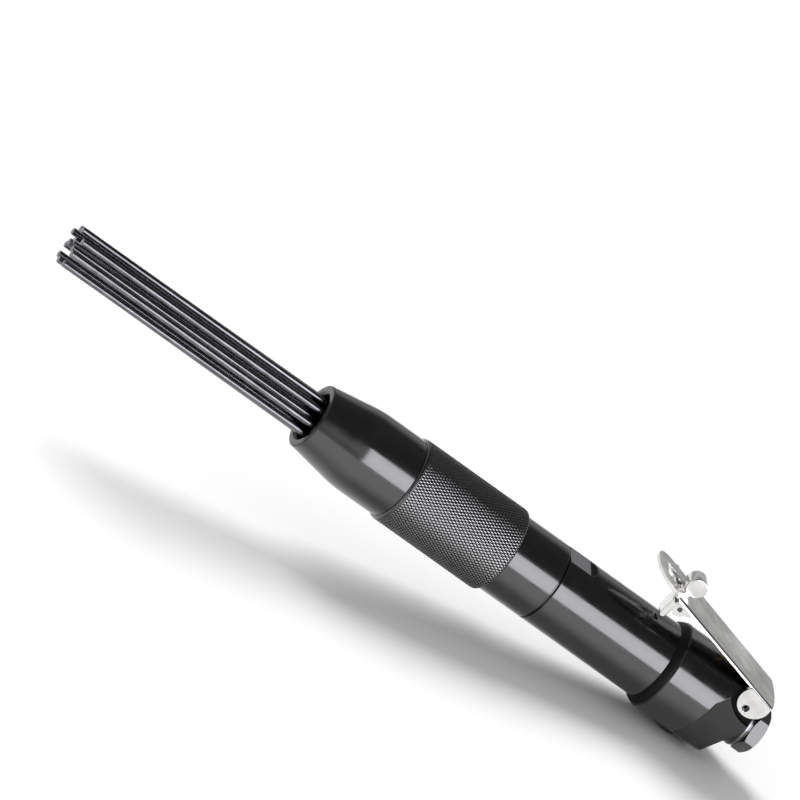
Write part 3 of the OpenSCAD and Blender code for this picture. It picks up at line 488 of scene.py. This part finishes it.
def main_barrel():
    """Hammer cylinder: a turned tube whose points above the wrench flats are lowered to them.

    Behind each flat the limit rises on the arc of the cutter, whose radius follows from its depth and run-out.
    """
    depth = BARREL_R - WRENCH_HALF
    cutter_r = (RUNOUT_LONG ** 2 + depth ** 2) / (2 * depth)
    flat_end = ST_JOINT - WRENCH_LONG
    screw, bush, stack = ST_JOINT + SCREW_LONG, ST_JOINT + BUSH_DEEP, ST_HEAD + VALVE_LONG
    lead, seam, end = 0.3, 0.25, 0.2
    outline = split_long(rounded([
        (screw, BUSH_R, 0), (screw, SCREW_R, lead), (ST_JOINT, SCREW_R, 0), (ST_JOINT, BARREL_R, seam),
        (flat_end, BARREL_R, 0), (flat_end - RUNOUT_LONG, BARREL_R, 0), (ST_EXHAUST, BARREL_R, end),
        (ST_EXHAUST, RING_SEAT_R, 0), (ST_HEAD, RING_SEAT_R, 0), (ST_HEAD, VALVE_R, 0), (stack, VALVE_R, 0),
        (stack, CYLINDER_R, 0), (bush, CYLINDER_R, 0), (bush, BUSH_R, 0),
    ]), BARREL_STEP)
    edge = math.acos(WRENCH_HALF / BARREL_R)
    corners = [edge, math.pi - edge, math.pi + edge, TURN - edge]
    angle = np.unique(np.concatenate([TURN * np.arange(FINE_COLS) / FINE_COLS, corners]))
    grid = turned(outline, angle)
    behind = np.clip(flat_end - outline[:, :1], 0, RUNOUT_LONG)
    limit = WRENCH_HALF + cutter_r - np.sqrt(cutter_r ** 2 - behind ** 2)
    limit = np.where(outline[:, :1] > flat_end - RUNOUT_LONG, limit, BARREL_R)
    grid[..., 2] = np.clip(grid[..., 2], -limit, limit)
    piece = add_grid("main_barrel_turned", grid, black_oxide, "main_barrel")
    milled = (limit < BARREL_R - NEAR) & (np.abs(np.abs(grid[..., 2]) - limit) < NEAR)
    # Painted shade: the round run-out of each wrench cut takes the near-black shade material; the flats then take the
    # rubbed finish
    refinish(piece, painted_shade_oxide, milled)
    refinish(piece, rubbed_oxide, milled & (limit < WRENCH_HALF + NEAR))


RING_PROUD = 0.05         # height of the ring over the barrel where it starts
RING_RISE = 1.1           # height that its front edge reaches
RING_EDGE = 0.8           # length of its front edge and of its rear land


def exhaust_ring():
    """Rubber ring: a rounded lip against the rear head that falls to the barrel."""
    ring_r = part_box("exhaust_ring")[1].z / MM
    bend, crown, back = 0.6, 0.5, 0.3
    add_turned("exhaust_ring", [
        (ST_EXHAUST, RING_SEAT_R, 0), (ST_EXHAUST, BARREL_R + RING_PROUD, RING_PROUD),
        (ST_EXHAUST - RING_EDGE, BARREL_R + RING_RISE, bend), (ST_HEAD + RING_EDGE, ring_r, crown),
        (ST_HEAD, ring_r, back), (ST_HEAD, RING_SEAT_R, 0),
    ], nitrile)


HEX_HALF = 9.5            # half the hexagon's width across flats
HEX_CHAMFER = 0.9
HEX_STEEP = 2.0           # how fast the chamfer's radius grows along the tool
HEX_COLLAR = 1.5          # length of the round collar in front of the hexagon
HEX_TURN = math.radians(21)
HEX_ROWS = 65             # mesh rows along the hexagon
BUSHING_R = 8.5           # spigot inside the rear head
BUSHING_BORE_R = 4.4
THREAD_PITCH = 1.337      # nineteen threads to the inch
THREAD_ROWS = 12          # mesh rows in a pitch
THREAD_DEPTH = 0.8
THREAD_LONG = 11.5
THREAD_LEAD = 0.4         # chamfer at the mouth
BORE_R = 5.7
BORE_LONG = 14.0


def inlet_bushing():
    """Inlet bushing: a chamfered hexagon, a round collar, a spigot and a threaded bore, in one closed grid.

    The hexagon's radius is half its width over the cosine of the angle from the nearest flat's middle, held below the
    cones of its two chamfers. The bore grows by a triangle wave that turns once per pitch and fades at the last turn.
    """
    corner_r = HEX_HALF / math.cos(TURN / 12)
    low_r = corner_r - HEX_STEEP * HEX_CHAMFER
    hexagon = np.linspace(ST_HEX - HEX_COLLAR, 0, HEX_ROWS)
    bore = np.arange(THREAD_LEAD, THREAD_LONG, THREAD_PITCH / THREAD_ROWS)
    parts = [[(ST_BUSHING, BUSHING_BORE_R), (ST_BUSHING, BUSHING_R), (ST_HEX, BUSHING_R), (ST_HEX, low_r)],
             np.stack([hexagon, np.full(HEX_ROWS, low_r)], 1),
             [(0, BORE_R + THREAD_DEPTH + THREAD_LEAD)],
             np.stack([bore, np.full(len(bore), BORE_R)], 1),
             [(BORE_LONG, BORE_R), (BORE_LONG, BUSHING_BORE_R)]]
    ends = np.cumsum([len(part) for part in parts])
    angle = HEX_TURN + TURN * np.arange(FINE_COLS) / FINE_COLS
    grid = turned(np.concatenate(parts), angle)
    from_end = np.minimum(hexagon, hexagon[0] - hexagon)[:, None]
    flat = HEX_HALF / np.cos((angle - HEX_TURN) % (TURN / 6) - TURN / 12)
    radius = np.minimum(flat, low_r + HEX_STEEP * from_end)
    grid[ends[0]:ends[1], :, 1:] *= (radius / low_r)[..., None]
    turns = bore[:, None] / THREAD_PITCH + angle / TURN
    groove = np.abs(2 * (turns - np.floor(turns)) - 1) * np.clip((THREAD_LONG - bore[:, None]) / THREAD_PITCH, 0, 1)
    grid[ends[2]:ends[3], :, 1:] *= (1 + groove * THREAD_DEPTH / BORE_R)[..., None]
    add_grid("inlet_bushing_threaded", grid, black_oxide, "inlet_bushing")


CATCH_T = 3.0             # thickness of the leg and the neck
CATCH_RIM = 0.4           # rounding of its edges
CATCH_LEAD = math.radians(-4)
CATCH_SIDE = 0.9          # longest side of its outline
EYE_R = 2.5
EYE_BORE_R = 1.15
EYE_SIDES = 32
PAD_R = 4.5
PAD_UP = 8.2
PAD_LIFT = 4.2            # height of the pad's flat base over the pin, square to the lever
PAD_LEAN = math.radians(18)
PAD_POINTS = 61
BEND_POINTS = 17          # along each half of the eye and round the foot
LEVER_SLOPE = math.radians(14.8)


def lock_catch():
    """Catch: one outline round the neck, the flat based pad, the eye and the leg, drawn out along Y.

    It is written with the neck upright and then turned back by the pad's lean: up the neck to the base line, round the
    pad, down the neck, round the eye to the leg, round the foot and back to the neck.
    """
    low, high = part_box("lock_catch")
    pin_low, pin_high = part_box("catch_pin")
    pin = np.array([pin_low.x + pin_high.x, pin_low.z + pin_high.z]) / 2 / MM
    half = CATCH_T / 2
    tilt = PAD_LEAN - LEVER_SLOPE
    along, square = np.array([math.cos(tilt), math.sin(tilt)]), np.array([-math.sin(tilt), math.cos(tilt)])
    over = square[1] * PAD_UP - PAD_LIFT
    chord = math.sqrt(PAD_R ** 2 - over ** 2)
    start, end = (math.atan2(*(side * chord * along - over * square)[::-1]) for side in (1, -1))
    pad = np.array([0, PAD_UP]) + PAD_R * circle(np.linspace(start, end + TURN, PAD_POINTS))
    base = [np.array([x, (PAD_LIFT - square[0] * x) / square[1]]) for x in (half, -half)]
    eye_y = math.sqrt(EYE_R ** 2 - half ** 2)
    leg = math.radians(-90) + CATCH_LEAD + PAD_LEAN
    open_half = math.asin(half / EYE_R)
    reach = ((pin[1] - low.z / MM) - half) / math.cos(CATCH_LEAD)
    neck_left, neck_right = math.atan2(eye_y, -half), math.atan2(eye_y, half)
    eye_left = EYE_R * circle(np.linspace(neck_left, leg + TURN - open_half, BEND_POINTS)[1:])
    eye_right = EYE_R * circle(np.linspace(leg + open_half, neck_right, BEND_POINTS)[:-1])
    foot = reach * circle(leg) + half * circle(np.linspace(leg - TURN / 4, leg + TURN / 4, BEND_POINTS))
    outline = np.concatenate([[(half, eye_y), base[0]], pad, [base[1], (-half, eye_y)], eye_left, foot, eye_right])
    outline = split_long(outline, CATCH_SIDE)
    hole = EYE_BORE_R * circle(TURN * np.arange(EYE_SIDES) / EYE_SIDES)
    back = np.array([[math.cos(PAD_LEAN), math.sin(PAD_LEAN)], [-math.sin(PAD_LEAN), math.cos(PAD_LEAN)]])
    add_plate("lock_catch_rounded", outline @ back.T + pin, hole + pin, (high.y - low.y) / MM, CATCH_RIM, nickel_plate,
              "catch", ("lock_catch",))


POCKET_R = 16.0           # radius of the recess round the lever's ear
POCKET_BACK = 5.5         # its middle behind the lever pin
POCKET_UP = 9.3           # its middle over the lever pin
TURNED_NEAR = 0.02        # how near to a surface a point counts as on it
POCKET_NEAR = 0.05


def rear_head():
    """Throttle housing: a smooth copy, glossy where it was turned, dull on the flats, with painted shade (a near-black
    material) on the wall and floor of the ear's recess.
    """
    piece = add_smooth("rear_head", milled_oxide, "tool_body")
    points = corner_points(piece)
    turned_r = np.hypot(points[:, 1], points[:, 2])
    refinish(piece, black_oxide, turned_r > turned_r.max() - TURNED_NEAR)
    low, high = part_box("lever_pin")
    pin_x, pin_z = (low.x + high.x) / 2 / MM, (low.z + high.z) / 2 / MM
    from_middle = np.hypot(points[:, 0] - pin_x - POCKET_BACK, points[:, 2] - pin_z - POCKET_UP)
    wall = np.abs(from_middle - POCKET_R) < POCKET_NEAR
    aside = np.abs(points[:, 1])
    bottom = (from_middle < POCKET_R) & (aside < aside[wall].min() + POCKET_NEAR)
    # Painted shade: the wall and floor of the ear's recess take the near-black shade material
    refinish(piece, painted_shade_oxide, wall | bottom)


NEEDLE_COUNT = 12
NEEDLE_R = 1.5
NEEDLE_COLS = 24          # points round a needle
NEEDLE_ROWS = 60          # rings along its shank
FIRST_ROW = 2.0           # the first of them in front of the head
HEAD_R = 2.2
HEAD_LONG = 3.0
NEEDLE_CHAMFER = 0.3      # at the tip and on both edges of the head
NEEDLE_SPREAD = 0.35      # how far a tip stands off the needle's line at the mouth
GOLDEN_TURN = math.radians(137.5)
# Sideways place (y, z) that a loose needle takes up in the mouth, off the middle of its hole in the holder
NEEDLE_SETTLE = {
    "needle_07": (-0.4, -0.95), "needle_08": (-0.44, -1.0), "needle_10": (-0.12, -0.27), "needle_11": (0.69, 1.5),
    "needle_12": (0.47, 1.07),
}


def needle(number):
    """A headed wire: circles carried along a line that eases sideways between the holder and the nose's mouth.

    The sideways shift is the settled place times 3s^2 - 2s^3, with s from 0 at the holder to 1 at the mouth, and from
    there the tip drifts off by the spread, in a direction that turns by the golden angle from needle to needle.
    """
    name = f"needle_{number:02d}"
    low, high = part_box(name)
    tip, tail = -low.x / MM, -high.x / MM
    middle = np.array([low.y + high.y, low.z + high.z]) / 2 / MM
    shank = tail + HEAD_LONG
    head = [tail, tail, tail + NEEDLE_CHAMFER, shank - NEEDLE_CHAMFER, shank, shank]
    along = np.r_[head, np.linspace(shank + FIRST_ROW, tip - NEEDLE_CHAMFER, NEEDLE_ROWS), tip, tip]
    radius = np.full(len(along), NEEDLE_R)
    radius[:len(head)] = 0, HEAD_R - NEEDLE_CHAMFER, HEAD_R, HEAD_R, HEAD_R - NEEDLE_CHAMFER, NEEDLE_R
    radius[-2:] = NEEDLE_R - NEEDLE_CHAMFER, 0
    s = np.clip((along - ST_HOLDER) / (ST_MOUTH - ST_HOLDER), 0, 1)
    drift = np.clip((along - ST_MOUTH) / (tip - ST_MOUTH), 0, 1)
    settle = np.array(NEEDLE_SETTLE.get(name, (0, 0)))
    spread = NEEDLE_SPREAD * circle(GOLDEN_TURN * number)
    line = middle + (s * s * (3 - 2 * s))[:, None] * settle + drift[:, None] * spread
    ring = circle(TURN * np.arange(NEEDLE_COLS) / NEEDLE_COLS)
    across = line[1:-1, None] + radius[1:-1, None, None] * ring
    grid = np.concatenate([np.repeat(-along[1:-1, None, None], NEEDLE_COLS, 1), across], -1)
    points = np.concatenate([grid.reshape(-1, 3), [(-along[0], *line[0]), (-along[-1], *line[-1])]])
    here = np.arange(NEEDLE_COLS)
    there = np.roll(here, -1)
    tail_point, tip_point = len(points) - 2, len(points) - 1
    last = tail_point - NEEDLE_COLS
    caps = [np.stack([np.full(NEEDLE_COLS, tail_point), there, here], 1),
            np.stack([np.full(NEEDLE_COLS, tip_point), last + here, last + there], 1)]
    faces = np.concatenate([grid_faces(len(grid), NEEDLE_COLS, rows_wrap=False), *caps])
    add_piece(name + "_drawn", points, faces, needle_wire, name, (name,))


def coil_spring(name, axis):
    """Return spring: a smooth copy of the solid, with its place baked into its mesh; it rides on no body.

    The seat is its low end along the given axis, and its high end lies on the mover.
    """
    low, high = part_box(name)
    start, end = (low + high) / 2, (low + high) / 2
    start[axis], end[axis] = low[axis], high[axis]
    piece = add_smooth(name, ground_steel, None, SOFT_ANGLE)
    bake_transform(piece)


nose_sleeve()
front_barrel()
main_barrel()
exhaust_ring()
inlet_bushing()
lock_catch()
for number in range(1, NEEDLE_COUNT + 1):
    needle(number)
add_smooth("throttle_lever", nickel_plate, "lever")
rear_head()
add_smooth("throttle_plug", black_oxide, "tool_body")
coil_spring("needle_spring", axis=0)
coil_spring("throttle_spring", axis=2)

# Finishes of the solids that are shown as they are; the others are ground steel
FINISHES = {
    "anvil_bush": bronze, "throttle_bush": bronze,
    "barrel_o_ring": nitrile, "anvil_buffer": nitrile, "stem_o_ring": nitrile, "plug_o_ring": nitrile,
    "lever_pin": black_oxide, "catch_pin": black_oxide,
}
for name, node in nodes.items():
    for place in node.material_slots:
        place.material = FINISHES.get(name, ground_steel)


# Floor, lights and camera, in metres

FLOOR_REACH = 12.0
FLOOR_FALL = 0.155        # slope of the part under the needles
FLOOR_FALL_LONG = 0.6
FLOOR_BEND = 0.01         # softness of its start and end
FLOOR_BENT = np.linspace(0.2, -1.2, 141)   # X of the mesh rows where the floor bends
# Brightness of the room in reflections, by height: 0 at the horizon and 1 overhead
ROOM_LEVELS = (0.0, 0.9), (0.09, 0.5), (0.21, 0.48), (0.38, 0.72), (0.7, 0.12), (1.0, 0.1)
ROOM_SOFT = 0.66          # brightness of the room as soft light
SUN_FROM = (-0.57, 0.5, 0.65)
SUN_POWER = 2.75
SUN_WIDE = math.radians(30)
CARD_X, CARD_Y, CARD_Z = 0.795, -0.92, 0.39
CARD_LONG, CARD_HIGH = 1.75, 0.74
CARD_POWER = 16.2
CARD_TINT = (0.945, 0.94, 1.0)
CLIP_NEAR, CLIP_FAR = 0.05, 50


def floor():
    """A pale plain paper floor: level under the plug that the tool rests on, and falling gently under the needles.

    With d the distance forward of the plug, the fall is the slope times h(d) - h(d - length), where
    h(d) = (d + sqrt(d^2 + bend^2)) / 2 is a straight ramp with a soft start.
    """
    x = np.r_[FLOOR_REACH, FLOOR_BENT, -FLOOR_REACH]
    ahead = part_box("throttle_plug")[0].x - x
    past = ahead - FLOOR_FALL_LONG
    fall = FLOOR_FALL * (ahead + np.hypot(ahead, FLOOR_BEND) - past - np.hypot(past, FLOOR_BEND)) / 2
    rows = [np.stack([x, np.full(len(x), side), cad_box[0].z - fall], 1) for side in (-FLOOR_REACH, FLOOR_REACH)]
    k = np.arange(len(x) - 1)
    faces = np.stack([k + 1, k, k + len(x), k + len(x) + 1], 1)
    mesh = bpy.data.meshes.new("floor")
    mesh.from_pydata(np.concatenate(rows).tolist(), [], faces.tolist())
    mesh.shade_smooth()
    made = bpy.data.objects.new("floor", mesh)
    scene.collection.objects.link(made)
    # Matt studio paper: almost white, with no gloss, so that only the shadow shows on it
    material, _, shader = new_material("pale_studio_paper")
    shader.inputs["Base Color"].default_value = linear("#f6f6f6")
    shader.inputs["Roughness"].default_value = 0.9
    shader.inputs["Specular IOR Level"].default_value = 0.0
    mesh.materials.append(material)


def studio_world():
    """A room that is white near the horizon and dark overhead in reflections, and even for soft light."""
    world = bpy.data.worlds.new("studio")
    world.use_nodes = True
    scene.world = world
    tree = world.node_tree
    tree.nodes.clear()
    direction = add(tree, "ShaderNodeTexCoord").outputs["Generated"]
    height = add(tree, "ShaderNodeSeparateXYZ", {"Vector": direction}).outputs["Z"]
    ramp = add(tree, "ShaderNodeValToRGB", {"Fac": height})
    stops = ramp.color_ramp.elements
    for place, _ in ROOM_LEVELS[1:-1]:
        stops.new(place)
    for stop, (_, level) in zip(stops, ROOM_LEVELS):
        stop.color = (level, level, level, 1)
    diffuse = add(tree, "ShaderNodeLightPath").outputs["Is Diffuse Ray"]
    strength = add(tree, "ShaderNodeMix", {0: diffuse, 2: ramp.outputs[0], 3: ROOM_SOFT}).outputs[0]
    background = add(tree, "ShaderNodeBackground", {"Strength": strength})
    add(tree, "ShaderNodeOutputWorld", {"Surface": background.outputs[0]})


def lamp(name, kind, place, aim, power, **settings):
    """A lamp at a place that shines towards aim."""
    data = bpy.data.lights.new(name, kind)
    data.energy = power
    for key, value in settings.items():
        setattr(data, key, value)
    made = bpy.data.objects.new(name, data)
    made.location = place
    made.rotation_euler = (Vector(aim) - Vector(place)).to_track_quat("-Z", "Y").to_euler()
    scene.collection.objects.link(made)
    return made


def camera():
    """A long lens from the photograph's direction: the tool falls to the lower right by the roll angle."""
    back = Vector((-math.sin(VIEW_TURN), -math.cos(VIEW_TURN) * math.cos(VIEW_RISE),
                   math.cos(VIEW_TURN) * math.sin(VIEW_RISE)))
    level = (Vector((1, 0, 0)) - back * back.x).normalized()
    rise = back.cross(level)
    right = level * math.cos(VIEW_ROLL) + rise * math.sin(VIEW_ROLL)
    up = rise * math.cos(VIEW_ROLL) - level * math.sin(VIEW_ROLL)
    data = bpy.data.cameras.new("camera")
    data.sensor_width = SENSOR
    data.lens = PIXELS_PER_MM * VIEW_DISTANCE * SENSOR / IMAGE_SIDE
    data.clip_start, data.clip_end = CLIP_NEAR, CLIP_FAR
    made = bpy.data.objects.new("camera", data)
    place = (Vector(VIEW_AIM) + back * VIEW_DISTANCE) * MM
    made.matrix_world = Matrix.Translation(place) @ Matrix((right, up, back)).transposed().to_4x4()
    scene.collection.objects.link(made)
    scene.camera = made


floor()
studio_world()
camera()
# The window behind the tool casts the shadow, and the card in front of it draws the bright band along the barrel
sun = lamp("window", "SUN", SUN_FROM, (0, 0, 0), SUN_POWER, angle=SUN_WIDE)
sun.visible_glossy = False
card_aim = (CARD_X, 0, (cad_box[0].z + cad_box[1].z) / 2)
card = lamp("front_card", "AREA", (CARD_X, CARD_Y, CARD_Z), card_aim, CARD_POWER, shape="RECTANGLE", size=CARD_LONG,
            size_y=CARD_HIGH, color=CARD_TINT)
card.visible_diffuse = False
